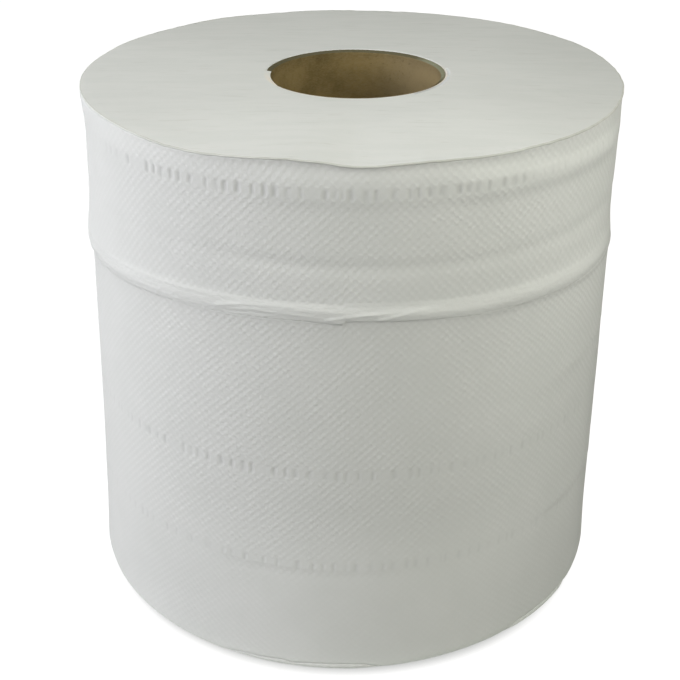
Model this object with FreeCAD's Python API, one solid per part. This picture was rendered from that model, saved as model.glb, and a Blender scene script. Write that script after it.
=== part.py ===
"""A centrefeed paper towel roll: an embossed two-ply web wound on a cardboard core.

The roll stands on one of its flat ends. Its frame has the core's axis as +Z and the middle of the
lower end as its origin, in millimetres. Two separate pieces make it up:

paper_roll      the wound web, its turns pressed into one soft solid. The last turn has slipped and
                rucked into a soft rolled fold right round the side. Below the fold the side is a
                plain drum, and above it a slightly slimmer band with two soft creases. The web's
                tail is a straight edge up the back.
cardboard_core  the spiral-wound tube that the web is wound on. It is pulled out of the middle when
                the roll is used from its centre.

The embossed dots, and the rows of ticks that bond the two plies, are finer than this model goes.
"""

import FreeCAD
import Part
import math
import os

# Overall sizes.
roll_diameter = 180.0  # across the drum
roll_height = 177.0  # the width of the web
core_bore_diameter = 57.0
core_wall = 1.4
core_clearance = 0.1  # between the core and the first turn, all round

# The web.
sheet_thickness = 0.4  # two embossed plies, not pressed: the step at the tail
tail_angle = 90.0  # of the tail's edge about the axis, from +X: straight up the back

# The fold and the band above it. Drops are measured down from the top end.
fold_drop = 49.0  # to the underside of the fold
fold_height = 5.0
fold_stand_out = 1.0  # of the fold from the drum
fold_undercut = 0.5  # of the gap under the fold, into the drum
band_set_in = 0.4  # of the band's flat stretches, inside the drum
crease_drops = (30.0, 14.0)  # to each soft crease round the band, from the fold upwards
crease_depth = 0.4  # from the flat stretches beside it

# The edges where the side meets the two sawn ends.
rim_height = 2.0  # of the lip round the top end
rim_overhang = 0.9  # of that lip, past the band
rim_undercut = 0.4  # of the groove below that lip, into the band
foot_height = 2.4  # of the flared lip round the lower end
foot_flare = 0.5  # of that lip, past the drum
bore_round = 0.4  # radius on the paper's edges round the core

ORIGIN = FreeCAD.Vector(0, 0, 0)
AXIS = FreeCAD.Vector(0, 0, 1)


def point(radius, height):
    """A point of a section in the XZ half-plane."""
    return FreeCAD.Vector(radius, 0, height)


def line(start, end):
    return Part.makeLine(start, end)


def arc(start, middle, end):
    return Part.Arc(start, middle, end).toShape()


def smooth_rise(points):
    """A smooth curve through the points that starts and ends parallel to the axis."""
    curve = Part.BSplineCurve()
    curve.interpolate(Points=points, InitialTangent=AXIS, FinalTangent=AXIS)
    return curve.toShape()


def foot_edges(drum):
    """The lip at the lower end. It flares over the foot and dies away into the drum."""
    toe = point(drum, 0)
    swell = point(drum + foot_flare, foot_height / 2)
    top = point(drum, foot_height)
    return [arc(toe, swell, top)]


def fold_edges(drum):
    """The rolled fold, with the gap that it leaves over the drum."""
    underside = roll_height - fold_drop
    below = point(drum, underside - fold_undercut)
    gap = point(drum - fold_undercut, underside)
    nose = point(drum + fold_stand_out, underside + fold_height / 2)
    top = point(drum - band_set_in, underside + fold_height)
    return [line(below, gap), arc(gap, nose, top)]


def band_edge(drum):
    """The band, from the fold up to the groove under the rim, with its soft creases."""
    flat = drum - band_set_in
    bottom = roll_height - fold_drop + fold_height
    top = roll_height - rim_height - rim_undercut
    creases = [roll_height - drop for drop in crease_drops]
    levels = [bottom] + creases + [top]
    points = [point(flat, bottom)]
    for below, above in zip(levels, levels[1:]):
        points.append(point(flat, (below + above) / 2))
        points.append(point(flat - crease_depth, above))
    points[-1] = point(flat, top)
    return smooth_rise(points)


def rim_edges(drum):
    """The groove under the rim and the sawn lip over it, up to the top end."""
    flat = drum - band_set_in
    start = point(flat, roll_height - rim_height - rim_undercut)
    groove = point(flat - rim_undercut, roll_height - rim_height)
    brow = point(flat + rim_overhang, roll_height - rim_height / 2)
    edge = point(flat, roll_height)
    return [line(start, groove), arc(groove, brow, edge)]


def end_of(edges):
    """The last point of a chain of edges that runs upwards."""
    return edges[-1].Vertexes[-1].Point


def turn_section(drum):
    """The roll's half section, from the axis to an outer turn of that drum radius."""
    foot = foot_edges(drum)
    fold = fold_edges(drum)
    band = band_edge(drum)
    rim = rim_edges(drum)
    side = foot + [line(end_of(foot), fold[0].Vertexes[0].Point)] + fold + [band] + rim
    top_middle = point(0, roll_height)
    ends = [line(end_of(rim), top_middle), line(top_middle, ORIGIN), line(ORIGIN, point(drum, 0))]
    return Part.Face(Part.Wire(side + ends))


def half_turn(drum, centre, start_angle):
    """Half of the last turn, swept half way round an axis through the centre."""
    solid = turn_section(drum).revolve(ORIGIN, AXIS, 180)
    solid.rotate(ORIGIN, AXIS, start_angle)
    solid.translate(centre)
    return solid


def core_outer_radius():
    return core_bore_diameter / 2 + core_wall


def bore_cutter():
    """What the core's seat takes out of the paper, with its rounded mouths."""
    radius = core_outer_radius() + core_clearance
    mouth = radius + bore_round
    middle = radius + bore_round * (1 - math.sqrt(0.5))
    inset = middle - radius
    low_end = point(radius, bore_round)
    high_end = point(radius, roll_height - bore_round)
    top_middle = point(0, roll_height)
    edges = [
        arc(point(mouth, 0), point(middle, inset), low_end),
        line(low_end, high_end),
        arc(high_end, point(middle, roll_height - inset), point(mouth, roll_height)),
        line(point(mouth, roll_height), top_middle),
        line(top_middle, ORIGIN),
        line(ORIGIN, point(mouth, 0)),
    ]
    return Part.Face(Part.Wire(edges)).revolve(ORIGIN, AXIS, 360)


def paper_roll():
    """The wound web. Its last turn is two half turns. The second is struck half a sheet nearer,
    from a centre half a sheet away from the tail, so the spiral closes with a step of one sheet
    there and runs smoothly everywhere else."""
    drum = roll_diameter / 2
    half_sheet = sheet_thickness / 2
    tail = math.radians(tail_angle)
    away_from_tail = FreeCAD.Vector(-math.cos(tail), -math.sin(tail), 0)
    outer = half_turn(drum, ORIGIN, tail_angle)
    inner = half_turn(drum - half_sheet, away_from_tail * half_sheet, tail_angle + 180)
    return outer.fuse(inner).removeSplitter().cut(bore_cutter())


def cardboard_core():
    """The tube. Both of its ends are sawn flush with the paper."""
    outside = Part.makeCylinder(core_outer_radius(), roll_height)
    bore = Part.makeCylinder(core_bore_diameter / 2, roll_height)
    return outside.cut(bore)


def main():
    os.makedirs("parts", exist_ok=True)
    pieces = {"paper_roll": paper_roll(), "cardboard_core": cardboard_core()}
    for name, shape in pieces.items():
        shape.exportStep(os.path.join("parts", name + ".step"))


main()
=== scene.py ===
"""The looks of a centrefeed paper towel roll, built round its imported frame.

The frame's soft paper solid is replaced by three closed pieces, and its core by one:

wound_web    the turns under the last one, with both sawn ends, the rim, the foot and the bore
outer_turn   the last turn below the fold, with its two rows of ply-bond ticks
folded_band  the last turn above the fold: the rolled fold, the creases and the top row of ticks
core_tube    the spiral-wound cardboard core

Shapes are worked out in millimetres and made into meshes in metres. Angles are in degrees round the
roll from its front, positive towards the viewer's right, and the tail of the web is at the back.
"""

import math

import bpy
import numpy as np
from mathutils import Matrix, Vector


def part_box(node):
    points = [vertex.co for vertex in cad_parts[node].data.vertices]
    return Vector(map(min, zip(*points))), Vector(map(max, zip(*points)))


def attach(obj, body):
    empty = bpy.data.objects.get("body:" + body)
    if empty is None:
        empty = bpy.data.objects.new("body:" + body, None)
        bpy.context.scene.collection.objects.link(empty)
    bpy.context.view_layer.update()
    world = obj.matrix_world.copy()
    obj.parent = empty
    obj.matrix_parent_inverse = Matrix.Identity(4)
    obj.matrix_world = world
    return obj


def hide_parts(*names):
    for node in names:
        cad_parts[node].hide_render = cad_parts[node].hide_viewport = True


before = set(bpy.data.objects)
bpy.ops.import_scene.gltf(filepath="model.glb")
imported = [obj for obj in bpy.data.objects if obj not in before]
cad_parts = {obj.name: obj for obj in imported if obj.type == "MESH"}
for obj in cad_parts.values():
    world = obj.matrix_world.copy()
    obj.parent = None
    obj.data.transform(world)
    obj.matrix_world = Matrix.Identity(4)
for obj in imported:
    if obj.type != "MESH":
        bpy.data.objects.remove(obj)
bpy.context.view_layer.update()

MM = 0.001
SEED = 20
DEGREE = math.radians(1)

# The roll's height and the outside of its core are the frame's.
_, paper_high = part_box("paper_roll")
_, core_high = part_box("cardboard_core")
height = paper_high[2] / MM
core_outer = core_high[0] / MM
core_wall = 1.4
core_inner = core_outer - core_wall
bore = core_outer + 0.1  # radius of the hole in the paper, just clear of the core

core_seam = 162  # the angle at the top of the spiral seam in the core's board
core_twist = 1.1  # degrees the seam turns for each millimetre down

# The side of the roll. It tapers a little upwards, and flares at the foot.
drum_radius = 90.9
taper = 0.0115  # lost from the radius for each millimetre up
band_radius = 89.3
hidden_radius = 88.0  # of the turns under the last one
inner_gap = 0.25  # between those turns and the last one
end_width = 59  # of the sawn end, from the rim in to the bore
sheet = 0.35  # thickness of the web where its edge shows
spiral_step = 0.4  # from the last turn down to the one under its tail
lean_top = (-0.75, 0.9)  # of the outer turns' centre from the core's axis, at the top end
lean_foot = (-3.15, -0.2)  # the same at the foot

# Lines round the roll, as (angle, height above the foot), closing on themselves.
FOLD_EDGE = (
    (-180, 125), (-140, 124), (-105, 121.8), (-88, 121.8), (-66, 124.1), (-50, 125.0), (-37, 126.0),
    (-28, 126.4), (-20, 126.8), (-9, 127.2), (-1.3, 126.5), (-0.7, 127.6), (7, 127.4), (13, 127.1),
    (20, 126.4), (28, 125.7), (36, 125.5), (45, 125.0), (56, 124.4), (80, 124.8), (110, 124.2), (145, 125.6),
)
FOLD_CREST = (
    (-180, 128.4), (-140, 127.8), (-105, 126.6), (-88, 126.8), (-66, 127.6), (-50, 127.8), (-38, 128.1),
    (-28, 128.3), (-22, 128.9), (-17, 129.9), (-12, 130.6), (-6, 130.7), (0, 130.1), (8, 129.3), (14, 129.1),
    (20, 128.6), (28, 128.3), (36, 128.3), (45, 127.8), (60, 127.2), (85, 126.8), (110, 127.4), (145, 128.6),
)
FOLD_TOP = (
    (-180, 132.8), (-140, 133.4), (-105, 136), (-88, 137), (-66, 136), (-50, 135), (-38, 134.0),
    (-28, 133.4), (-20, 132.7), (-12, 132.2), (-6, 132.3), (0, 132.2), (8, 132.0), (20, 131.8),
    (30, 131.8), (45, 132.1), (63, 132.8), (85, 134.4), (110, 134.5), (145, 133.4),
)
RIM_EDGE = (
    (-180, 176.1), (-150, 176.4), (-128, 176.5), (-108, 176.2), (-90, 175.8), (-60, 175.6), (-46, 174.9),
    (-38, 174.4), (-30, 174.5), (-20, 175.5), (-12, 176.2), (-6, 175.75), (0, 174.6), (4, 174.6),
    (8, 174.95), (14, 175.3), (20, 175.05), (27, 174.8), (36, 174.7), (44, 174.4), (54, 174.3),
    (64, 174.6), (90, 175.6), (125, 176.1), (150, 176.3),
)
CREASE = (
    (-180, 146.5), (-30, 145.3), (-15, 144.8), (-4, 144.0), (4, 143.6), (14, 143.6), (28, 143.2), (45, 143.3),
    (90, 143.6),
)
# The swell round the band below its rim: the middle of its lower side and of its upper side.
SWELL_FOOT = ((-180, 163.6), (14, 163.4), (28, 162.6), (45, 162.0), (90, 162.0))
SWELL_TOP = ((-180, 171.6), (14, 171.8), (28, 170.2), (36, 169.0), (46, 167.8), (60, 167.4), (90, 167.4))
# Patches of painted light and shade on the side, among them a painted shadow under the fold: angle,
# half width, height and half height of each patch, and how much lighter.
PAINTED_LIGHT_PATCHES = (
    (-10, 66, 171.0, 4.4, 0.035),
    (14, 34, 172.6, 2.8, 0.035),
    (32, 16, 169.8, 2.6, 0.04),
    (54, 26, 167.4, 2.8, 0.05),
    (-36, 26, 132.2, 2.6, 0.045),
    (38, 34, 131.4, 2.8, 0.06),
    (52, 36, 127.5, 3.0, -0.09),
)
# How far the fold stands off the band, and how upright its lower side is.
FOLD_STAND = (
    (-180, 1.1), (-130, 1.3), (-90, 1.45), (-60, 1.1), (-42, 0.9), (-28, 0.7), (-17, 0.66), (-8, 0.85),
    (20, 0.92), (60, 0.98), (100, 1.1),
)
FOLD_FACET = (
    (-180, 0.7), (-120, 0.6), (-90, 0.5), (-60, 0.62), (-30, 0.75), (30, 0.8), (70, 0.7), (120, 0.65),
)
# The two folds of the web that climb slantwise out of the fold's lower edge at the front.
SLANT_FOLDS = (
    ((-4.5, 127.9), (-1, 129.0), (3.5, 129.8), (8, 130.3), (14, 130.8)),
    ((5.2, 127.9), (7.5, 128.8), (11, 129.8), (16, 130.5)),
)
# The fine ridges along it.
FOLD_RIDGES = (
    ((-26.5, 128.5), (-23.5, 129.6), (-20, 130.6), (-13, 131.4), (-3, 131.8)),
)
# The twisted creases over the front of the fold, and the wrinkles of the side below it: start and end
# as (angle, height), width and amount. The creases' heights are from the fold's lower edge.
FRONT_ROPES = (
    ((-26, 0.9), (-14, 1.6), 0.4, -0.12),
    ((-20, 2.4), (-3, 1.6), 0.45, 0.14),
    ((24, 3.6), (60, 4.6), 0.9, 0.1),
    ((-60, 3.6), (-36, 1.6), 0.6, 0.14),
    ((-52, 6.2), (-24, 5.0), 0.7, 0.12),
)
WRINKLES = (
    ((38, 92.0), (80, 98.5), 1.6, 0.5),
    ((42, 88.6), (80, 94.0), 1.6, -0.35),
    ((34, 79.0), (72, 81.0), 1.6, 0.3),
    ((44, 43.5), (82, 46.0), 1.8, 0.36),
    ((48, 39.8), (82, 42.0), 1.6, -0.12),
    ((-34, 38.2), (34, 37.9), 0.6, -0.26),
    ((22, 38.6), (70, 44), 1.3, -0.08),
    ((-36, 17), (-26, 22), 1.2, -0.12),
)
# How far the corner of the foot has been rounded off by standing and sliding.
FOOT_ROUND = (
    (-180, 2.4), (-70, 2.4), (-47, 2.0), (-25, 1.2), (-17, 0.5), (-12, 0.2), (2, 0.2), (8, 1.0), (22, 2.0),
    (35, 2.5), (60, 3.0), (75, 3.5), (95, 3.3), (140, 2.6),
)
# Where each row of ticks runs, and how strongly it shows round the roll.
BAND_TICKS = (
    (166.4, ((-180, 0.6), (-60, 0.1), (-48, 0.7), (-42, 1.0), (-12, 0.95), (-6, 0.6), (8, 0.5), (13, 0.8),
             (32, 0.6), (38, 0.4), (62, 0.3), (80, 0.2), (120, 0.6))),
    (166.5, ((-180, 0), (-8, 0), (-4, 0.4), (8, 0.3), (13, 0.8), (30, 0.6), (46, 0.2), (60, 0))),
)
DRUM_TICKS = (
    (74.4, ((-180, 0.6), (-64, 0.2), (-50, 0.5), (-42, 0.7), (-12, 0.75), (0, 0.6), (12, 0.5), (50, 0.4),
            (70, 0.2), (120, 0.6))),
    (40.5, ((-180, 0.6), (-60, 0.15), (-45, 0.35), (-34, 0.5), (-8, 0.55), (20, 0.3), (60, 0.2), (80, 0.2),
            (120, 0.6))),
)
tick_length = 3.2
tick_pitch = 2.4  # degrees
band_tick_seed = 11
drum_tick_seed = 13
turn_columns = 1441  # columns of points round the last turn

# The embossing: how many dots there are in one row round the roll, and the rise between rows.
dots_round = 202
dot_rise = 2.74
fold_middle = 130.0  # the height round which the dots are pressed flat by the fold

# Colours of the papers and the board, each from its duller to its brighter parts.
TISSUE_DULL = (0.838, 0.843, 0.837, 1)
TISSUE_BRIGHT = (0.86, 0.862, 0.859, 1)
SAWN_DULL = (0.832, 0.841, 0.836, 1)
SAWN_BRIGHT = (0.856, 0.861, 0.858, 1)
SAWN_STREAK = (0.76, 0.765, 0.75, 1)
# A painted highlight round the front of the bore.
PAINTED_MOUTH_HIGHLIGHT = (0.95, 0.88, 0.79, 1)
# The rim's colours are painted shade, lighter at the left as painted light.
RIM_SHADE_DULL = (0.66, 0.66, 0.63, 1)
RIM_SHADE_BRIGHT = (0.73, 0.73, 0.705, 1)
RIM_LIT_LEFT = (0.77, 0.775, 0.755, 1)
BOARD_DULL = (0.205, 0.147, 0.056, 1)
BOARD_BRIGHT = (0.300, 0.217, 0.090, 1)
# Painted light: the board's paler colour at the right inside the core.
BOARD_LIT = (0.43, 0.34, 0.20, 1)
BOARD_FIBRE = (0.38, 0.31, 0.18, 1)
BOARD_FLECK = (0.11, 0.08, 0.04, 1)
# The core's sawn edge: olive round the back, with painted shade at the front and painted light at the right.
EDGE_BACK = (0.138, 0.122, 0.073, 1)
EDGE_SHADED_FRONT = (0.107, 0.077, 0.037, 1)
EDGE_LIT_RIGHT = (0.275, 0.275, 0.19, 1)

# The camera, in millimetres and degrees. It stands in front of the middle of the roll's top end.
camera_lens = 72.2
camera_sensor = 36
camera_back = 448.5
camera_height = 301.3
camera_tilt = 26.64  # downwards
camera_turn = 0.576  # to the left

# The floor, in metres. Its painted contact shadow and its glowing ring each fade from the first
# distance to the second, the shadow's measured from a point a little in front of the foot's middle.
floor_radius = 6
FLOOR_GREY = (0.35, 0.35, 0.35, 1)
SEEN_GREY = (0.2, 0.2, 0.2, 1)
shadow_forward = 7.5  # millimetres
SHADOW_FADE = (0.0812, 0.0896)
shadow_brightness = 0.42
RING_FADE = (0.0915, 0.0965)
RING_COLOUR = (0.9, 1.0, 0.85, 1)
ring_strength = 0.28

# The lamps: angle from the front to the right, angle up, distance and width in metres, power, colour.
COOL_WHITE = (0.95, 0.96, 1.0)
WARM_WHITE = (0.98, 0.99, 0.89)
LAMPS = (
    ("left_soft_box", -70, 12, 1.4, 0.8, 6.0, COOL_WHITE),
    ("left_front_box", -45, 12, 1.4, 0.8, 2.8, WARM_WHITE),
    ("left_back", -95, 12, 1.4, 0.8, 1.2, WARM_WHITE),
    ("right_fill", 95, 12, 1.4, 0.8, 1.4, WARM_WHITE),
    ("back_fill", 176, 1, 1.4, 0.3, 5.5, WARM_WHITE),
    ("left_near", -75, 30, 0.55, 0.3, 0.9, COOL_WHITE),
    ("left_near_top", -90, 80, 0.55, 0.3, 0.6, WARM_WHITE),
    ("right_near", 45, 30, 0.55, 0.3, 1.15, WARM_WHITE),
    ("right_near_top", 45, 60, 0.55, 0.3, 0.35, WARM_WHITE),
)
lamp_aim = 0.09  # the height that every lamp is aimed at, in metres


# ---------------------------------------------------------------- shapes round the roll

def fade(value):
    """0 below 0, 1 above 1, and smooth between."""
    value = np.clip(value, 0, 1)
    return value * value * (3 - 2 * value)


def window(value, low, high, edge):
    """1 from low to high, fading to 0 over edge at each side."""
    return fade((value - low) / edge + 1) * fade((high - value) / edge + 1)


def hump(value, centre, width):
    """1 at the centre, falling smoothly to almost 0 at twice the width to each side."""
    return np.exp(-(((value - centre) / width) ** 2))


def turned(angle, centre):
    """The angle from centre, between -180 and 180."""
    return (angle - centre + 180) % 360 - 180


def along(angle, line):
    """The value at an angle of a line that is given by (angle, value) points."""
    angles, values = zip(*line)
    return np.interp(angle, angles, values, period=360)


def unevenness(angle, level, seed, waves, length, count=28):
    """Smooth seeded noise, mostly between -1 and 1, that closes on itself round the roll.
    waves is the range of whole waves round the roll, and length the shortest wave upwards."""
    draw = np.random.default_rng(SEED + seed)
    total = 0
    for _ in range(count):
        turns = draw.integers(waves[0], waves[1] + 1)
        rise = draw.uniform(-1, 1) * 2 * math.pi / length
        phase = draw.uniform(0, 2 * math.pi)
        total = total + np.cos(np.radians(angle) * turns + level * rise + phase)
    return total / math.sqrt(count)


def pinch(angle, level, start, end, width, amount):
    """A crease or ridge along a straight line of the unrolled side, from start to end, each given
    as (angle, height). It is width wide, amount high, and dies away at both ends."""
    scale = DEGREE * band_radius
    run = turned(end[0], start[0]) * scale
    rise = end[1] - start[1]
    length = math.hypot(run, rise)
    across_x = turned(angle, start[0]) * scale
    across_z = level - start[1]
    share = (across_x * run + across_z * rise) / length ** 2
    away = (across_x * rise - across_z * run) / length
    ends = fade(share / 0.25) * fade((1 - share) / 0.25)
    return amount * np.exp(-((away / width) ** 2)) * ends


def ticks(angle, level, rows, seed):
    """Rows of short upright dents where the two plies are pinched together, unevenly spaced."""
    return sum(tick_row(angle, level, row, seed + place) for place, row in enumerate(rows))


def tick_row(angle, level, row, seed):
    """One row of ticks, given as (height, strength round the roll)."""
    centre, strength = row
    draw = np.random.default_rng(SEED + seed)
    total = int(360 / tick_pitch)
    step = 360 / total
    force = draw.uniform(0.45, 1.1, total) * (draw.random(total) > 0.1)
    shift = draw.uniform(-0.32, 0.32, total)
    wide = draw.uniform(0.45, 0.92, total)
    tall = draw.uniform(0.8, 1.1, total) * tick_length / 2
    place = (angle % 360) / step
    near = np.round(place).astype(int)
    dents = 0
    for side in (-1, 0, 1):
        which = (near + side) % total
        away = (place - near - side - shift[which]) * step * DEGREE * band_radius
        half = wide[which]
        groove = hump(away, 0, half) - 0.14 * hump(np.abs(away), 1.9 * half, 0.6 * half)
        reach = fade((tall[which] - np.abs(level - centre)) / 1.5 + 0.5)
        dents = dents + force[which] * groove * reach
    return -0.3 * along(angle, strength) * dents


def fold_edge(angle):
    """The height of the fold's lower edge."""
    behind = 1 - window(angle, -70, 70, 25)
    return along(angle, FOLD_EDGE) + 0.3 * behind * unevenness(angle, 0, 1, (5, 16), 50)


def rim_edge(angle, rough=0.05):
    """The height of the rim's lower edge, which waves where the sawn end has been handled."""
    behind = 1 - window(angle, -60, 65, 20)
    small = rough * unevenness(angle, 0, 21, (30, 110), 50)
    return along(angle, RIM_EDGE) + small + 0.1 * behind * unevenness(angle, 0, 2, (3, 14), 50)


def rim_open(angle):
    """1 where the rim stands proud of the band, and 0 at the left where they flare out together."""
    return 1 - window(turned(angle, -88), -34, 43, 24)


def side_radius(angle, level):
    """The last turn below the fold, without its ticks."""
    soft = 0.13 * unevenness(angle, level, 3, (2, 7), 60) + 0.04 * unevenness(angle, level, 4, (8, 26), 22)
    flare = 0.4 * np.exp(-level / 7)
    below = np.maximum(fold_edge(angle) - level, 0)
    swell = (0.5 + 0.3 * hump(turned(angle, -92), 0, 30)) * np.exp(-below / 2.4)
    wrinkles = sum(pinch(angle, level, *wrinkle) for wrinkle in WRINKLES)
    return drum_radius - taper * level + flare + swell + soft + wrinkles


def band_shape(angle, level):
    """The last turn above the fold, without the fold and the ticks."""
    side = -0.35 * np.sin(np.radians(angle))
    soft = 0.1 * unevenness(angle, level, 5, (2, 8), 40) + 0.035 * unevenness(angle, level, 6, (9, 30), 18)
    front = 0.25 + 0.75 * window(angle, -12, 60, 22)
    crease_level = along(angle, CREASE) + 0.2 * unevenness(angle, 0, 7, (3, 12), 50)
    crease = -0.5 * front * hump(level, crease_level, 1.8)
    left = hump(turned(angle, -92), 0, 34)
    proud = 0.14 + 0.4 * window(angle, -10, 64, 14) + 0.42 * window(angle, 26, 62, 10)
    rise = fade((level - along(angle, SWELL_FOOT)) / 4.4 + 0.5)
    fall = fade((along(angle, SWELL_TOP) - level) / 5.4 + 0.5)
    bulge = proud * rise * fall
    flare = 1.15 * left * fade((level - 166) / 9)
    return band_radius + side + soft + crease + bulge + flare


def ridge(angle, level, line, width, amount):
    """A narrow ridge along a line of (angle, height) points, which dies away at its far end."""
    first, last = line[0][0], line[-1][0]
    ends = fade((angle - first) / 1.0 + 0.6) * fade((last - angle) / (0.4 * (last - first)))
    return amount * ends * np.exp(-(np.abs((level - along(angle, line)) / width) ** 1.6))


def slant_fold(angle, level, line):
    """A layer of the web that comes out from under the fold: a ridge along its line, and a surface
    that stands a little further out below that line."""
    first, last = line[0][0], line[-1][0]
    below = fade((along(angle, line) - level) / 0.5 + 0.5)
    ends = fade((angle - first) / 1.2) * fade((last + 6 - angle) / 12)
    return 0.18 * below * ends + ridge(angle, level, line, 0.42, 0.26)


def fold_ropes(angle, level, edge):
    """The smaller twisted creases that run slantwise over the rolled fold."""
    rise = level - edge
    total = sum(pinch(angle, rise, *rope) for rope in FRONT_ROPES)
    draw = np.random.default_rng(SEED + 8)
    for start in np.arange(80, 290, 13.0):
        begin = start + draw.uniform(-5, 5)
        reach = draw.uniform(14, 30)
        low = draw.uniform(0.8, 3.4)
        total = total + pinch(angle, rise, (begin, low), (begin + reach, low + draw.uniform(-1.4, 2.4)),
                              draw.uniform(0.4, 0.65), draw.uniform(0.1, 0.24))
    return total


def fold_roll(angle, level, edge):
    """The rolled fold: an upright lower side up to its crest, then a slope back to the band."""
    crest = along(angle, FOLD_CREST)
    top = along(angle, FOLD_TOP)
    upright = along(angle, FOLD_FACET)
    lower = upright + (1 - upright) * (level - edge) / (crest - edge)
    upper = (top - level) / (top - crest)
    sharp = 0.04 + 0.16 * (1 - window(angle, -27, 14, 14))
    slope = -sharp * np.log(np.exp(-lower / sharp) + np.exp(-upper / sharp)) + sharp * math.log(2)
    corner = 0.05 + 0.25 * (1 - window(angle, -27, 60, 16))
    slope = corner * np.log1p(np.exp(np.clip(slope / corner, -30, 30)))
    run_out = np.exp(-np.maximum(level - crest, 0) / 4.5)
    nose = 0.2 * np.clip(1 - (level - edge) / 1.0, 0, 1) ** 2
    return along(angle, FOLD_STAND) * (0.86 * slope + 0.14 * run_out) - nose


def rim_flare(angle, level):
    """How far the band is dragged outwards just under the rim."""
    below = np.maximum(rim_edge(angle) - level, 0)
    amount = 0.36 + 0.36 * hump(angle, 1, 13) + 0.2 * hump(angle, 27, 7) - 0.2 * window(angle, 42, 75, 8)
    return rim_open(angle) * amount * np.exp(-below / 1.0)


def band_profile(angle, level):
    """The whole outer surface above the fold's lower edge."""
    edge = fold_edge(angle)
    slants = sum(slant_fold(angle, level, line) for line in SLANT_FOLDS)
    ridges = sum(ridge(angle, level, line, 0.4, 0.24) for line in FOLD_RIDGES)
    return (band_shape(angle, level) + fold_roll(angle, level, edge) + fold_ropes(angle, level, edge)
            + slants + ridges + ticks(angle, level, BAND_TICKS, band_tick_seed) + rim_flare(angle, level))


def drum_profile(angle, level):
    """The whole outer surface below the fold."""
    return side_radius(angle, level) + ticks(angle, level, DRUM_TICKS, drum_tick_seed)


def right_lip(angle):
    """1 where the turns under the last one show along the foot at the right."""
    return window(angle, 43, 58, 8)


def foot_lip(angle):
    """1 where the turns under the last one show as a lip along the foot, and 0 elsewhere."""
    kink = 1 - 0.3 * hump(angle, -10.5, 1.5)
    return window(angle, -21, 3, 8) * kink + right_lip(angle)


def foot_edge(angle):
    """The height of the last turn's lower edge, which hangs clear of the ground over the lip."""
    lip = foot_lip(angle)
    return 0.12 + lip * (2.1 + 0.12 * unevenness(angle, 0, 15, (9, 40), 50))


def foot_inset(angle, level):
    """How far the rounded corner of the foot draws in."""
    deep = along(angle, FOOT_ROUND)
    share = np.clip(1 - level / (1.25 * deep + 1), 0, 1)
    return deep * (1 - np.sqrt(1 - share ** 2))


def spiral(angle):
    """How far the surface has dropped since the tail, round the last turn."""
    return np.where(angle > 0, -spiral_step / 2 * (1 - np.cos(np.radians(angle))), 0)


def placed(angle, radius, level, follow=1.0):
    """Points in the frame. follow is how far a point leans with the outer turns, from 0 to 1."""
    down = 1 - level / height
    centre_x = follow * (lean_top[0] + down * (lean_foot[0] - lean_top[0]))
    centre_y = follow * (lean_top[1] + down * (lean_foot[1] - lean_top[1]))
    turn = np.radians(angle)
    return np.stack([centre_x + radius * np.sin(turn), centre_y - radius * np.cos(turn), level], -1)


# ---------------------------------------------------------------- meshes

def ring_mesh(name, points, angles, distances, materials, slots=None, strips=2, pinched=None):
    """A closed ring. points is rows by columns by 3, rows going up the outside and down the inside,
    and both rows and columns close on themselves. angles and distances are the unrolled place of
    each point. slots gives each row's material. The two UV maps are the unrolled place in
    millimetres, for the materials, and the whole surface laid flat in strips, for baking. pinched
    is how far each point of the first rows has been pinched in, which the material darkens as
    painted shade in the dents."""
    rows, columns, _ = points.shape
    row, column = np.meshgrid(np.arange(rows), np.arange(columns), indexing="ij")
    next_row, next_column = (row + 1) % rows, (column + 1) % columns
    corners = [(row, column), (row, next_column), (next_row, next_column), (next_row, column)]
    faces = np.stack([r * columns + c for r, c in corners], -1).reshape(-1, 4)
    mesh = bpy.data.meshes.new(name)
    mesh.from_pydata((points * MM).reshape(-1, 3).tolist(), [], faces.tolist())

    angle_ends = np.append(angles, angles[0] + 360)
    distance_ends = np.append(distances, distances[-1] + (distances[-1] - distances[-2]))
    ahead = [(row, column), (row, column + 1), (row + 1, column + 1), (row + 1, column)]
    unrolled = np.stack([
        np.stack([angle_ends[c] * DEGREE * band_radius, distance_ends[r]], -1)
        for r, c in ahead], 2)
    flat = np.stack([strip_place(r / rows, c / columns, column / columns, strips)
                     for r, c in ahead], 2)
    for map_name, values in (("unrolled", unrolled), ("OFBake", flat)):
        layer = mesh.uv_layers.new(name=map_name)
        layer.uv.foreach_set("vector", values.astype(np.float32).ravel())

    if pinched is not None:
        values = np.zeros((rows, columns), np.float32)
        values[:len(pinched)] = pinched
        mesh.attributes.new("pinched", "FLOAT", "POINT").data.foreach_set("value", values.ravel())
    for material in materials:
        mesh.materials.append(material)
    if slots is not None:
        mesh.polygons.foreach_set("material_index", np.repeat(slots, columns).astype(np.int32))
    mesh.shade_smooth()
    mesh.validate()
    piece = bpy.data.objects.new(name, mesh)
    bpy.context.scene.collection.objects.link(piece)
    return piece


def strip_place(row_share, column_share, first_share, strips):
    """The place in the flat layout: the ring cut into strips, one above the other."""
    strip = np.floor(first_share * strips)
    margin = 0.004
    u = margin + (column_share * strips - strip) * (1 - 2 * margin)
    v = (strip + margin + row_share * (1 - 2 * margin)) / strips
    return np.stack([u, v], -1)


def tail_columns(count):
    """Angles round the last turn from one side of the tail's edge to the other, and how far below
    the outer surface each column lies: the first two are the underside of the tail's edge."""
    angles = np.linspace(-180, 180, count)
    angles = np.concatenate([[-179.5, -180.0], angles, [180.5]])
    below = np.zeros(len(angles))
    below[:2] = sheet
    return angles, below


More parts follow.
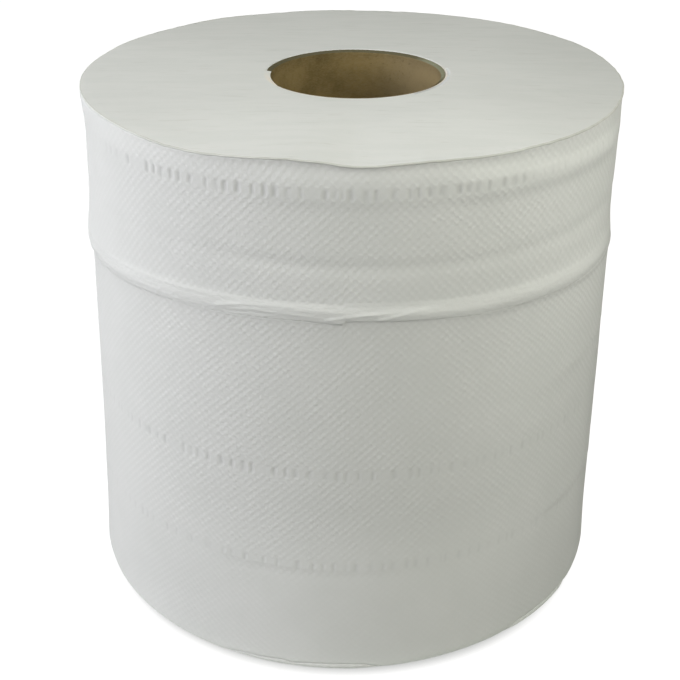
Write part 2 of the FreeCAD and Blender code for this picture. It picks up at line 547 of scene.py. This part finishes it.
def tail_wander(angle, level):
    """The tail's edge isn't quite straight, and stands off the turn below."""
    near = np.exp(-np.abs(angle + 180) / 3.0)
    shift = 0.22 * unevenness(0, level, 9, (1, 2), 30) * near
    lift = (0.3 + 0.18 * unevenness(0, level, 10, (1, 2), 38)) * np.exp(-np.abs(angle + 180) / 1.6)
    return shift, np.maximum(lift, 0)


def stretch(levels, low, low_moved, low_end, high, high_moved, high_start):
    """Row heights that follow a moved lower edge up to low_end, and a moved upper edge from
    high_start, and stay level between."""
    near_low = np.clip((low_end - levels) / (low_end - low), 0, 1)
    near_high = np.clip((levels - high_start) / (high - high_start), 0, 1)
    return levels + (low_moved - low) * near_low + (high_moved - high) * near_high


def band_levels():
    """Row heights from the fold's edge up to the rim, close together where there is detail."""
    fold = 127.5 + np.array([0, 0.12, 0.3, 0.55, 0.85, 1.2, 1.55, 1.9, 2.25, 2.6, 2.95, 3.3, 3.65, 4.0,
                             4.4, 4.85, 5.4, 6.1, 7.0, 8.1, 9.4])
    middle = np.arange(138.5, 164.3, 1.6)
    across_ticks = np.linspace(164.8, 168.8, 10)
    top = np.array([169.8, 171, 172.2, 173.0, 173.7, 174.3, 174.8])
    return np.concatenate([fold, middle, across_ticks, top])


def folded_band(materials):
    """The last turn above the fold."""
    angles, below = tail_columns(turn_columns)
    angle = angles[None, :]
    edge = fold_edge(angle)
    levels = band_levels()[:, None]
    top = rim_edge(angle) + 0.02
    level = stretch(levels, levels[0], edge, 145, levels[-1], top, 170)
    shift, lift = tail_wander(angle, level)
    radius = band_profile(angle, level) + spiral(angle) + lift - below
    outer = placed(angle + shift, radius, level)

    inner_radius = hidden_radius + inner_gap + 0 * angle
    under_fold = side_radius(angle, edge) + spiral(angle)
    closing = [
        placed(angle, inner_radius, top),
        placed(angle, inner_radius, edge + 2.2),
        placed(angle, under_fold - 0.7, edge + 1.5),
        placed(angle, under_fold + 0.12, edge + 0.3),
    ]
    points = np.concatenate([outer, np.stack([row[0] for row in closing])])
    distances = np.concatenate([levels[:, 0], [176, 200, 201, 202]])
    pinched = -ticks(angle, level, BAND_TICKS, band_tick_seed)
    return ring_mesh("folded_band", points, angles, distances, materials, pinched=pinched)


def drum_levels():
    """Row heights from the foot up to the fold's edge, close together where there is detail."""
    parts = [np.array([0.3, 0.7, 1.2, 1.8, 2.6, 3.6, 5, 7, 9.6])]
    start = 12.6
    for row in sorted(centre for centre, _ in DRUM_TICKS):
        low, high = row - tick_length / 2 - 0.4, row + tick_length / 2 + 0.4
        parts.append(np.arange(start, low - 1, 2.9))
        parts.append(np.linspace(low, high, 8))
        start = high + 2
    parts.append(np.arange(start, 122.5, 2.8))
    parts.append(np.array([123.8, 125.6, 126.8, 127.5]))
    return np.concatenate(parts)


def outer_turn(materials):
    """The last turn below the fold."""
    angles, below = tail_columns(turn_columns)
    angle = angles[None, :]
    edge = fold_edge(angle)
    foot = foot_edge(angle)
    levels = drum_levels()[:, None]
    level = stretch(levels, levels[0], foot, 12, levels[-1], edge, 108)
    shift, lift = tail_wander(angle, level)
    tuck_right = 0.6 * right_lip(angle) * fade((foot + 1.6 - level) / 1.6)
    tuck = 0.05 * fade((foot + 0.7 - level) / 0.7) + tuck_right
    radius = drum_profile(angle, level) + spiral(angle) + lift - below - tuck - foot_inset(angle, level)
    outer = placed(angle + shift, radius, level)
    inner_radius = hidden_radius + inner_gap + 0 * angle
    top_radius = radius[-1:]
    closing = [
        placed(angle, top_radius - 0.3, edge + 0.4),
        placed(angle, top_radius - 1.0, edge + 0.9),
        placed(angle, inner_radius, edge + 1.2),
        placed(angle, inner_radius, foot + 0.3),
        placed(angle, radius[:1] - 0.5, foot - 0.1),
    ]
    points = np.concatenate([outer, np.stack([row[0] for row in closing])])
    distances = np.concatenate([levels[:, 0], [129, 130, 131, 260, 261]])
    pinched = -ticks(angle, level, DRUM_TICKS, drum_tick_seed)
    return ring_mesh("outer_turn", points, angles, distances, materials, pinched=pinched)


def rim_radius(angle):
    """The rim's outer radius: a thin lip past the band, but flush with it at the left."""
    over = 0.16 + 0.1 * hump(angle, 1, 13) + 0.2 * window(turned(angle, 180), -70, 70, 20)
    ragged = 0.05 * unevenness(angle, 0, 16, (20, 90), 50)
    band = band_shape(angle, rim_edge(angle)) + rim_flare(angle, rim_edge(angle))
    return band + spiral(angle) + rim_open(angle) * (over + ragged)


def ring(angles, radius, level, slot):
    """One ring of points, as its radius and height at each angle, and the slot of its material."""
    return radius + 0 * angles, level + 0 * angles, slot


def foot_rings(angles):
    """The lower end, from the bore outwards, and the foot up to the last turn's lower edge."""
    shown = foot_lip(angles)
    open_foot = fade(8 * shown)
    foot = hidden_radius + (drum_radius - 0.2 - hidden_radius) * open_foot + 0.42 * shown + spiral(angles)
    sole = foot - open_foot * foot_inset(angles, 0)
    over = foot_edge(angles)
    for share in np.linspace(0, 1, 14):
        yield ring(angles, bore + 0.4 + (sole - 2 - bore - 0.4) * share, 0, 1)
    for back, share in ((0.7, 0), (0.3, 0.06), (0.08, 0.22), (-0.06, 0.45), (0.0, 0.68), (0.26, 0.85)):
        drawn_in = (0.82 - 0.27 * right_lip(angles)) * open_foot * foot_inset(angles, share * over)
        yield ring(angles, foot - back - drawn_in, share * over, 1 if share == 0 else 0)
    yield ring(angles, foot - 0.8 - open_foot * foot_inset(angles, over), over - 0.02, 0)
    yield ring(angles, hidden_radius - 0.2, over + 0.15, 0)


def rim_rings(angles, lip, rim):
    """The top of the hidden side, and the thin lip of the rim."""
    yield ring(angles, hidden_radius - 0.2, rim - 0.3, 0)
    yield ring(angles, hidden_radius, rim, 0)
    for back, up in ((0.9, 0.1), (0.12, -0.02), (0.02, 0.1), (0, 0.25), (0.03, 0.42)):
        yield ring(angles, lip - back, rim + up, 2)


def end_rings(angles, lip, rim):
    """The top end, from the rim inwards. It is domed a little, and rounds off towards the rim."""
    flush = 1 - rim_open(angles)
    even_rim = rim_edge(angles, 0)
    brow = np.minimum(even_rim + 0.5 + 0.1 * flush, height - 0.1)
    rough = rim - even_rim
    rounding = 0.5 + 1.3 * flush
    inset = np.concatenate([[0.14, 0.32, 0.55, 0.85, 1.3, 1.9, 2.8, 4.2], np.linspace(6, 58.6, 40)])
    for distance in inset:
        radius = lip - distance
        dome = (1 - distance / end_width) ** 1.7
        drop = (brow - height) * (0.88 * dome + 0.12 * np.exp(-distance / rounding))
        drop = drop + rough * np.exp(-distance / 0.8)
        relief = end_relief(angles, radius) * fade(distance / 5) * fade((end_width - distance) / 4)
        yield ring(angles, radius, height - 0.05 + drop + relief, 2 if distance < 0.5 else 1)


def bore_rings(angles):
    """The mouth of the bore, with a little of the first turn pushed over the core, and the bore."""
    start = turned(angles, -94)
    flap = fade(start / 3) * fade((38 - start) / 9)
    push = 1.75 * fade(start / 3) * np.clip((37 - start) / 33, 0, 1) ** 0.8
    for out, pushed, down, lifted in (
        (0.7, 0.7, 0.06, 0.06), (0.25, 1, 0.08, 0.1), (0.06, 1, 0.14, 0.12),
        (0, 1, 0.24, 0.18), (0, 0.5, 0.4, 0.32), (0, 0, 0.6, 0.5),
    ):
        yield ring(angles, bore + out - pushed * push, height - down + lifted * flap, 1)
    for share in np.linspace(0.02, 0.98, 6):
        yield ring(angles, bore, height * (1 - share), 1)
    yield ring(angles, bore + 0.12, 0.2, 1)


def wound_web(side, end):
    """The turns under the last one, as rings from the lower end up the side and down the bore."""
    angles = np.arange(-180, 180, 0.5)
    rim = rim_edge(angles)
    lip = rim_radius(angles)
    rings = [*foot_rings(angles), *rim_rings(angles, lip, rim), *end_rings(angles, lip, rim),
             *bore_rings(angles)]
    radius = np.stack([each[0] for each in rings])
    level = np.stack([each[1] for each in rings])
    slots = np.array([each[2] for each in rings])
    follow = fade((radius - core_outer - 3) / (hidden_radius - core_outer - 6))
    points = placed(angles[None, :], radius, level, follow)
    steps = np.hypot(np.diff(radius[:, 0]), np.diff(level[:, 0]))
    distances = np.concatenate([[0], np.cumsum(steps)])
    return ring_mesh("wound_web", points, angles, distances, [side, end, shaded_rim_paper()], slots)


def end_relief(angle, radius):
    """The faint waves of a sawn end."""
    waves = 0.035 * unevenness(angle, radius, 19, (1, 7), 22)
    ripples = 0.012 * unevenness(angle, radius, 18, (0, 3), 5)
    return waves + ripples


def core_tube(wall, cut):
    """The cardboard core, with the spiral seam of its board showing inside it."""
    angles = np.arange(-180, 180, 0.75)
    top = height - 0.12 + 0.03 * unevenness(angles, 0, 30, (2, 9), 50)
    fuzz = 0.03 * unevenness(angles, 0, 31, (30, 120), 50)
    ply = np.linspace(core_outer - 0.12, core_inner + 0.15, 6)
    sections = [(core_outer, 0.05 + 0 * angles, 1), (core_outer, top - 0.1, 0)]
    for number, radius in enumerate(ply):
        slope = 0.6 * (core_outer - radius) / core_wall
        sections.append((radius, top + fuzz - slope - 0.05 * (number % 2), 1))
    for level in [top - 0.72, top - 1.2]:
        sections.append((core_inner, level, 0))
    for level in np.linspace(height - 2.4, 0.9, 90):
        sections.append((core_inner, level + 0 * angles, 0))
    sections.append((core_inner + 0.03, 0.15 + 0 * angles, 0))
    for radius in ply[::-1]:
        sections.append((radius, 0.02 + 0 * angles, 1))
    points, slots, distances = [], [], []
    for radius, level, slot in sections:
        inside = radius < core_inner + 0.05
        seam_place = turned(angles, core_seam + core_twist * (height - level)) * DEGREE * core_inner
        seam = 0.08 * hump(seam_place, 0, 0.5) if inside else 0
        step = 0.07 * fade(seam_place / 0.6) * fade((14 - seam_place) / 13) if inside else 0
        points.append(placed(angles, radius + seam - step, level, 0.0))
        slots.append(slot)
        distances.append(level[0] + (0 if inside else 200))
    return ring_mesh("core_tube", np.stack(points), angles, np.array(distances), [wall, cut],
                     np.array(slots), strips=1)


# ---------------------------------------------------------------- materials

def new_material(name):
    """An empty material with one shader, and the tree that its nodes go in."""
    material = bpy.data.materials.new(name)
    material.use_nodes = True
    tree = material.node_tree
    tree.nodes.clear()
    output = tree.nodes.new("ShaderNodeOutputMaterial")
    shader = tree.nodes.new("ShaderNodeBsdfPrincipled")
    tree.links.new(shader.outputs["BSDF"], output.inputs["Surface"])
    return material, tree, shader


def put(tree, socket, value):
    """Sets a socket to a number, or links another socket to it."""
    if isinstance(value, bpy.types.NodeSocket):
        tree.links.new(value, socket)
    else:
        socket.default_value = value


def node(tree, kind, inputs, **settings):
    """Adds a node with its settings and inputs, and returns it."""
    made = tree.nodes.new(kind)
    for key, value in settings.items():
        setattr(made, key, value)
    for key, value in inputs.items():
        put(tree, made.inputs[key], value)
    return made


def calc(tree, operation, first, second=0.0, third=0.0):
    made = node(tree, "ShaderNodeMath", {0: first, 1: second, 2: third}, operation=operation)
    return made.outputs[0]


def noise(tree, vector, scale, detail=2.0, roughness=0.5):
    inputs = {"Vector": vector, "Scale": scale, "Detail": detail, "Roughness": roughness}
    return node(tree, "ShaderNodeTexNoise", inputs).outputs["Fac"]


def spread(tree, value, from_low, from_high, to_low, to_high):
    """Carries a value smoothly over from one range to another, and holds it past both ends."""
    inputs = {
        "Value": value, "From Min": from_low, "From Max": from_high, "To Min": to_low, "To Max": to_high,
    }
    return node(tree, "ShaderNodeMapRange", inputs, interpolation_type="SMOOTHSTEP").outputs["Result"]


def times(tree, first, second):
    return calc(tree, "MULTIPLY", first, second)


def away_from(tree, value, middle):
    """How far a value is from a middle one, to either side."""
    return calc(tree, "ABSOLUTE", calc(tree, "SUBTRACT", value, middle))


def stretched(tree, vector, scale):
    return node(tree, "ShaderNodeMapping", {"Vector": vector, "Scale": scale}).outputs["Vector"]


def blend_colour(tree, share, first, second):
    """The first colour where share is 0, and the second where it is 1."""
    made = node(tree, "ShaderNodeMix", {"Factor": share}, data_type="RGBA")
    put(tree, made.inputs[6], first)
    put(tree, made.inputs[7], second)
    return made.outputs[2]


def position(tree):
    """The place in the frame, in metres."""
    return node(tree, "ShaderNodeNewGeometry", {}).outputs["Position"]


def unrolled_place(tree):
    """The unrolled place on the side, in millimetres, as a vector and its two parts."""
    place = node(tree, "ShaderNodeUVMap", {}, uv_map="unrolled").outputs["UV"]
    parts = node(tree, "ShaderNodeSeparateXYZ", {"Vector": place}).outputs
    return place, parts["X"], parts["Y"]


def bearing(tree):
    """The angle round the roll, in degrees."""
    return calc(tree, "DIVIDE", unrolled_place(tree)[1], DEGREE * band_radius)


def beside(tree, angle, near, far):
    """1 within near degrees of an angle, and 0 beyond far degrees."""
    return spread(tree, away_from(tree, bearing(tree), angle), near, far, 1.0, 0.0)


def tint(tree, shade, colour):
    """A colour made darker or lighter by a factor."""
    made = node(tree, "ShaderNodeVectorMath", {0: colour, "Scale": shade}, operation="SCALE")
    return made.outputs["Vector"]


def finish_paper(tree, shader, colour, relief, depth, fibres):
    """What all the papers share: a matte, faintly fibrous surface with its relief as bump."""
    bumps = node(tree, "ShaderNodeBump", {"Strength": 1.0, "Distance": depth * MM, "Height": relief})
    put(tree, shader.inputs["Base Color"], colour)
    put(tree, shader.inputs["Normal"], bumps.outputs["Normal"])
    put(tree, shader.inputs["Roughness"], spread(tree, fibres, 0.3, 0.7, 0.86, 0.97))
    shader.inputs["Specular IOR Level"].default_value = 0.22


def dot_lattice(tree, place, around, up):
    """A close lattice of staggered dots, each from 0 to 1."""
    cell_around = 2 * math.pi * band_radius / dots_round
    wobble = spread(tree, noise(tree, place, 0.12, 2), 0.3, 0.7, -0.5, 0.5)
    across = calc(tree, "COSINE", calc(tree, "MULTIPLY_ADD", around, 2 * math.pi / cell_around, wobble))
    upward = calc(tree, "COSINE", calc(tree, "MULTIPLY_ADD", up, 2 * math.pi / dot_rise, wobble))
    return spread(tree, times(tree, across, upward), -0.75, 1.0, 0.0, 1.0)


def dot_depth(tree, place, around, up, on_fold):
    """How deep the dots are. They are flatter where the roll has been pressed or rubbed: low down, at
    the left, at the front, on the fold and along the rows of ticks."""
    patches = spread(tree, noise(tree, place, 0.07, 3, 0.6), 0.3, 0.65, 0.65, 1.0)
    low_down = spread(tree, up, 26.0, 62.0, 0.4, 1.0)
    leftward = spread(tree, away_from(tree, around, -150.0), 56.0, 90.0, 0.22, 1.0)
    depth = times(tree, patches, times(tree, low_down, leftward))
    rightward = spread(tree, around, 0.0, 65.0, 0.0, 1.0)
    upper = spread(tree, up, 70.0, 134.0, 0.0, 0.24)
    depth = times(tree, depth, calc(tree, "MULTIPLY_ADD", rightward, upper, 0.99))
    by_height = spread(tree, up, 118.0, 132.0, -0.13, -0.05)
    rubbed = times(tree, beside(tree, 6.0, 8.0, 30.0), by_height)
    depth = times(tree, depth, calc(tree, "ADD", rubbed, 1.0))
    kept = spread(tree, around, -75.0, -40.0, 0.65, 0.15)
    lost = times(tree, on_fold, calc(tree, "SUBTRACT", 1.0, kept))
    depth = times(tree, depth, calc(tree, "SUBTRACT", 1.0, lost))
    for level in (BAND_TICKS[0][0], DRUM_TICKS[0][0], DRUM_TICKS[1][0]):
        beside_ticks = spread(tree, away_from(tree, up, level), 0.8, 2.4, 0.45, 1.0)
        depth = times(tree, depth, beside_ticks)
    worn = spread(tree, noise(tree, place, 0.34, 3, 0.6), 0.34, 0.66, 0.66, 1.38)
    return times(tree, depth, worn)


def painted_side_shading(tree, up):
    """Painted light and shade on the paper of the side, as a factor on its colour where 1 is unchanged:
    lighter low down and a little darker higher up at the front, darker low down and lighter higher up
    at the right, and the patches.
    """
    front = times(tree, beside(tree, 4.0, 10.0, 46.0), spread(tree, up, 124.0, 132.0, 1.0, 0.0))
    painted_front_shading = times(tree, front, spread(tree, up, 36.0, 64.0, 0.075, -0.025))
    by_height = spread(tree, up, 80.0, 132.0, -0.045, 0.04)
    painted_right_shading = times(tree, beside(tree, 85.0, 25.0, 55.0), by_height)
    shade = calc(tree, "ADD", calc(tree, "ADD", painted_front_shading, painted_right_shading), 1.0)
    for angle, half_width, level, half_height, amount in PAINTED_LIGHT_PATCHES:
        height_share = spread(tree, away_from(tree, up, level), 0.3 * half_height, half_height, amount, 0.0)
        width_share = beside(tree, angle, 0.5 * half_width, half_width)
        shade = calc(tree, "MULTIPLY_ADD", width_share, height_share, shade)
    return shade


def embossed_paper():
    """White two-ply tissue with a close lattice of embossed dots, loose fibres and a crumpled fold, with
    painted shade in the dot hollows and tick dents and painted light and shade on the side.
    """
    material, tree, shader = new_material("embossed_paper")
    place, around, up = unrolled_place(tree)
    on_fold = spread(tree, away_from(tree, up, fold_middle), 2.2, 3.4, 1.0, 0.0)
    lattice = dot_lattice(tree, place, around, up)
    dots = times(tree, lattice, dot_depth(tree, place, around, up, on_fold))
    crepe = noise(tree, stretched(tree, place, (2.6, 0.8, 1)), 1.0, 3, 0.6)
    fibres = noise(tree, place, 1.3, 4, 0.65)
    crumpled = noise(tree, stretched(tree, place, (0.34, 0.9, 1)), 1.0, 3, 0.6)
    relief = calc(tree, "MULTIPLY_ADD", crepe, 0.16, dots)
    relief = calc(tree, "MULTIPLY_ADD", fibres, 0.14, relief)
    relief = calc(tree, "MULTIPLY_ADD", crumpled, times(tree, on_fold, 3.0), relief)
    cloud = spread(tree, noise(tree, place, 0.035, 3, 0.6), 0.3, 0.7, 0.0, 1.0)
    colour = blend_colour(tree, cloud, TISSUE_DULL, TISSUE_BRIGHT)
    # Painted shade: the paper is a little darker in the hollows between the dots.
    colour = tint(tree, calc(tree, "MULTIPLY_ADD", dots, 0.035, 0.972), colour)
    colour = tint(tree, painted_side_shading(tree, up), colour)
    # Painted shade in the tick dents: the deeper a point is pinched in, the darker.
    pinched = node(tree, "ShaderNodeAttribute", {}, attribute_name="pinched").outputs["Fac"]
    colour = tint(tree, spread(tree, pinched, -0.04, 0.26, 1.0, 0.86), colour)
    finish_paper(tree, shader, colour, relief, 0.1, fibres)
    return material


def sawn_relief(tree, place):
    """The fibres, scuffs and faint rings of a sawn end, each from 0 to 1, and the distance from the
    core's axis in metres."""
    flat = node(tree, "ShaderNodeVectorMath", {0: place, 1: (1, 1, 0)}, operation="MULTIPLY")
    length = node(tree, "ShaderNodeVectorMath", {0: flat.outputs["Vector"]}, operation="LENGTH")
    radius = length.outputs["Value"]
    drift = calc(tree, "MULTIPLY_ADD", noise(tree, place, 30.0, 2), 0.0015, radius)
    line = node(tree, "ShaderNodeCombineXYZ", {"X": drift, "Y": 0.0, "Z": 0.0}).outputs["Vector"]
    rings = noise(tree, line, 700.0, 3, 0.7)
    fibres = noise(tree, place, 1300.0, 3, 0.6)
    scuffs = noise(tree, stretched(tree, place, (50, 240, 60)), 1.0, 4, 0.6)
    return fibres, scuffs, rings, radius


def sawn_paper():
    """The ends of the roll: hundreds of turns cut through, soft and almost smooth, with a faint warm
    painted highlight round the front of the bore, and painted light and shade across the top end."""
    material, tree, shader = new_material("sawn_paper")
    place = position(tree)
    fibres, scuffs, rings, radius = sawn_relief(tree, place)
    relief = calc(tree, "MULTIPLY_ADD", rings, 0.12, times(tree, fibres, 0.35))
    relief = calc(tree, "MULTIPLY_ADD", scuffs, 0.6, relief)
    mottle = spread(tree, scuffs, 0.38, 0.62, 0.0, 1.0)
    drawn_out = noise(tree, stretched(tree, place, (90, 700, 60)), 1.0, 2, 0.5)
    streaks = spread(tree, drawn_out, 0.62, 0.74, 0.0, 0.6)
    colour = blend_colour(tree, mottle, SAWN_DULL, SAWN_BRIGHT)
    colour = blend_colour(tree, streaks, colour, SAWN_STREAK)
    # Painted highlight: a warm edge of light round the front of the bore.
    mouth_highlight_share = spread(tree, radius, (core_outer + 0.2) * MM, (core_outer + 1.2) * MM, 0.9, 0.0)
    mouth_highlight_share = times(tree, mouth_highlight_share, beside(tree, 10.0, 70.0, 110.0))
    colour = blend_colour(tree, mouth_highlight_share, colour, PAINTED_MOUTH_HIGHLIGHT)
    # Painted light and shade on the end: lighter towards the rim at the front, darker out towards the rim at
    # the right, and darker at the back.
    lighter = spread(tree, radius, 0.038, 0.062, 0.0, 0.042)
    front = times(tree, beside(tree, 0.0, 28.0, 60.0), lighter)
    darker = spread(tree, radius, 0.036, 0.088, -0.02, -0.11)
    right = times(tree, beside(tree, 88.0, 14.0, 56.0), darker)
    back = spread(tree, calc(tree, "ABSOLUTE", bearing(tree)), 95.0, 140.0, 0.0, -0.04)
    shade = calc(tree, "ADD", calc(tree, "ADD", front, right), calc(tree, "ADD", back, 1.0))
    colour = tint(tree, shade, colour)
    finish_paper(tree, shader, colour, relief, 0.06, fibres)
    return material


def shaded_rim_paper():
    """The rim of the sawn end, where the outermost edges have matted. Its colour is darkened as painted
    shade, and less so at the left as painted light."""
    material, tree, shader = new_material("shaded_rim_paper")
    place = position(tree)
    around = unrolled_place(tree)[1]
    fibres, scuffs, rings, _ = sawn_relief(tree, place)
    relief = calc(tree, "MULTIPLY_ADD", rings, 0.3, times(tree, fibres, 0.5))
    mottle = spread(tree, scuffs, 0.35, 0.65, 0.0, 1.0)
    colour = blend_colour(tree, mottle, RIM_SHADE_DULL, RIM_SHADE_BRIGHT)
    # Painted light: the rim is lighter at the left, where the light falls.
    leftward = spread(tree, away_from(tree, around, -140.0), 40.0, 85.0, 1.0, 0.0)
    colour = blend_colour(tree, leftward, colour, RIM_LIT_LEFT)
    finish_paper(tree, shader, colour, relief, 0.1, fibres)
    return material


def core_board():
    """Brown recycled board: mottled, with short fibres and flecks, and painted paler at the right, where
    light falls into the core.
    """
    material, tree, shader = new_material("core_board")
    place = position(tree)
    fibres = noise(tree, stretched(tree, place, (900, 900, 2600)), 1.0, 4, 0.65)
    cloud = noise(tree, place, 90.0, 4, 0.65)
    flecks = spread(tree, noise(tree, place, 1100.0, 2, 0.5), 0.64, 0.74, 0.0, 1.0)
    mottle = spread(tree, cloud, 0.35, 0.65, 0.0, 1.0)
    up = node(tree, "ShaderNodeSeparateXYZ", {"Vector": place}).outputs["Z"]
    # Painted light: the board is paler at the right, where light falls into the core.
    lit_share = times(tree, beside(tree, 105.0, 28.0, 74.0), 0.52)
    colour = blend_colour(tree, mottle, BOARD_DULL, BOARD_BRIGHT)
    colour = blend_colour(tree, lit_share, colour, BOARD_LIT)
    colour = tint(tree, spread(tree, up, (height - 5) * MM, (height - 0.5) * MM, 1.0, 0.76), colour)
    light_fibres = times(tree, spread(tree, fibres, 0.38, 0.66, 0.0, 1.0), 0.25)
    colour = blend_colour(tree, light_fibres, colour, BOARD_FIBRE)
    colour = blend_colour(tree, times(tree, flecks, 0.35), colour, BOARD_FLECK)
    relief = calc(tree, "MULTIPLY_ADD", cloud, 0.6, fibres)
    finish_paper(tree, shader, colour, relief, 0.08, fibres)
    return material


def board_edge():
    """The sawn edge of the core: olive round the back, painted dark as shade at the front, and painted
    paler as light at the right.
    """
    material, tree, shader = new_material("board_edge")
    place = position(tree)
    fibres = noise(tree, place, 1800.0, 4, 0.7)
    # Painted shade at the front and painted light at the right.
    front = beside(tree, 0.0, 62.0, 84.0)
    right = beside(tree, 102.0, 18.0, 34.0)
    colour = blend_colour(tree, front, EDGE_BACK, EDGE_SHADED_FRONT)
    colour = blend_colour(tree, right, colour, EDGE_LIT_RIGHT)
    colour = tint(tree, calc(tree, "MULTIPLY_ADD", fibres, 0.6, 0.7), colour)
    finish_paper(tree, shader, colour, fibres, 0.1, fibres)
    return material


# ---------------------------------------------------------------- the object

paper_side = embossed_paper()
paper_end = sawn_paper()
web = wound_web(paper_side, paper_end)
turn = outer_turn([paper_side])
band = folded_band([paper_side])
core = core_tube(core_board(), board_edge())
for piece in (web, turn, band):
    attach(piece, "root")
    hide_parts("paper_roll")
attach(core, "root")
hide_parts("cardboard_core")


# ---------------------------------------------------------------- the stage

def from_foot(tree, place, forward):
    """How far a place is from a point that lies forward of the foot's middle."""
    middle = (lean_foot[0] * MM, (lean_foot[1] - forward) * MM, 0)
    return node(tree, "ShaderNodeVectorMath", {0: place, 1: middle}, operation="DISTANCE").outputs["Value"]


def floor():
    """A plain pale floor. What the camera sees of it is white, with a painted contact shadow round the
    roll's foot, while the light it throws back on the roll is that of a grey floor with a faint glowing
    ring round the foot."""
    bpy.ops.mesh.primitive_circle_add(vertices=96, radius=floor_radius, fill_type="NGON", location=(0, 0, 0))
    ground = bpy.context.object
    ground.name = "floor"
    material, tree, shader = new_material("pale_floor")
    shader.inputs["Base Color"].default_value = FLOOR_GREY
    shader.inputs["Roughness"].default_value = 0.9
    place = position(tree)
    paper = node(tree, "ShaderNodeBsdfDiffuse", {"Color": SEEN_GREY}).outputs["BSDF"]
    # Painted contact shadow: the white that the camera sees is dimmer near the foot.
    glow = spread(tree, from_foot(tree, place, shadow_forward), *SHADOW_FADE, shadow_brightness, 1.0)
    white = node(tree, "ShaderNodeEmission", {"Strength": glow}).outputs["Emission"]
    seen = node(tree, "ShaderNodeAddShader", {0: paper, 1: white}).outputs["Shader"]
    put(tree, shader.inputs["Emission Color"], RING_COLOUR)
    ring_glow = spread(tree, from_foot(tree, place, 0), *RING_FADE, ring_strength, 0.0)
    put(tree, shader.inputs["Emission Strength"], ring_glow)
    ray = node(tree, "ShaderNodeLightPath", {}).outputs["Is Camera Ray"]
    mix = node(tree, "ShaderNodeMixShader", {0: ray, 1: shader.outputs["BSDF"], 2: seen})
    tree.links.new(mix.outputs["Shader"], tree.nodes["Material Output"].inputs["Surface"])
    ground.data.materials.append(material)


def area_light(name, azimuth, elevation, distance, size, power, colour):
    """A square soft light aimed at the middle of the roll. azimuth is from the front, to the right."""
    light = bpy.data.lights.new(name, "AREA")
    light.size = size
    light.energy = power
    light.color = colour
    lamp = bpy.data.objects.new(name, light)
    turn = math.radians(azimuth)
    rise = math.radians(elevation)
    way = Vector((math.sin(turn) * math.cos(rise), -math.cos(turn) * math.cos(rise), math.sin(rise)))
    lamp.location = Vector((0, 0, lamp_aim)) + distance * way
    lamp.rotation_euler = way.to_track_quat("Z", "Y").to_euler()
    bpy.context.scene.collection.objects.link(lamp)


def camera():
    """A short telephoto looking down on the roll from close by."""
    data = bpy.data.cameras.new("camera")
    data.lens = camera_lens
    data.sensor_width = camera_sensor
    holder = bpy.data.objects.new("camera", data)
    holder.location = (lean_top[0] * MM, (lean_top[1] - camera_back) * MM, camera_height * MM)
    holder.rotation_euler = (math.radians(90 - camera_tilt), 0, math.radians(camera_turn))
    bpy.context.scene.collection.objects.link(holder)
    bpy.context.scene.camera = holder


def surround():
    """Past the floor's edge the camera sees white, and no light comes from there."""
    world = bpy.data.worlds.new("studio")
    world.use_nodes = True
    background = world.node_tree.nodes["Background"]
    background.inputs["Color"].default_value = (1, 1, 1, 1)
    ray = node(world.node_tree, "ShaderNodeLightPath", {}).outputs["Is Camera Ray"]
    put(world.node_tree, background.inputs["Strength"], ray)
    bpy.context.scene.world = world


floor()
surround()
camera()
for lamp_values in LAMPS:
    area_light(*lamp_values)
bpy.context.scene.view_settings.view_transform = "Standard"
